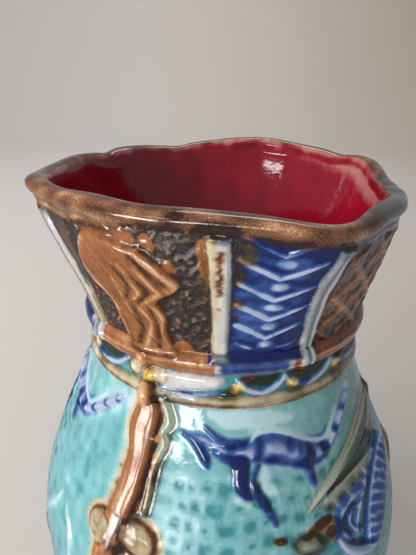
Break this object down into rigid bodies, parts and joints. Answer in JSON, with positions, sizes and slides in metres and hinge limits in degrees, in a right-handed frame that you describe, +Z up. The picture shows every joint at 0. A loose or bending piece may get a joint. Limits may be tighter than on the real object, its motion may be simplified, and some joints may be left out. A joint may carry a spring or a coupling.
{
  "type": "majolica pitcher",
  "caption": "Hollow glazed earthenware pitcher: pear-shaped body with raised branches and beasts, flared four-cornered collar with a pouring lip, and a looped branch handle.",
  "frame": {"origin": "centre of the flat underside of the foot", "axes": "+X towards the pouring lip, -X towards the handle, +Z up along the vessel's axis"},
  "size_m": [0.1721, 0.1352, 0.2047],
  "materials": {
    "majolica_glaze": "glossy coloured lead glazes over moulded relief: turquoise ground, cobalt, cream and brown, with a rose lining"
  },
  "bodies": {
    "root": {"pitcher": "majolica_glaze"}
  },
  "joints": []
}
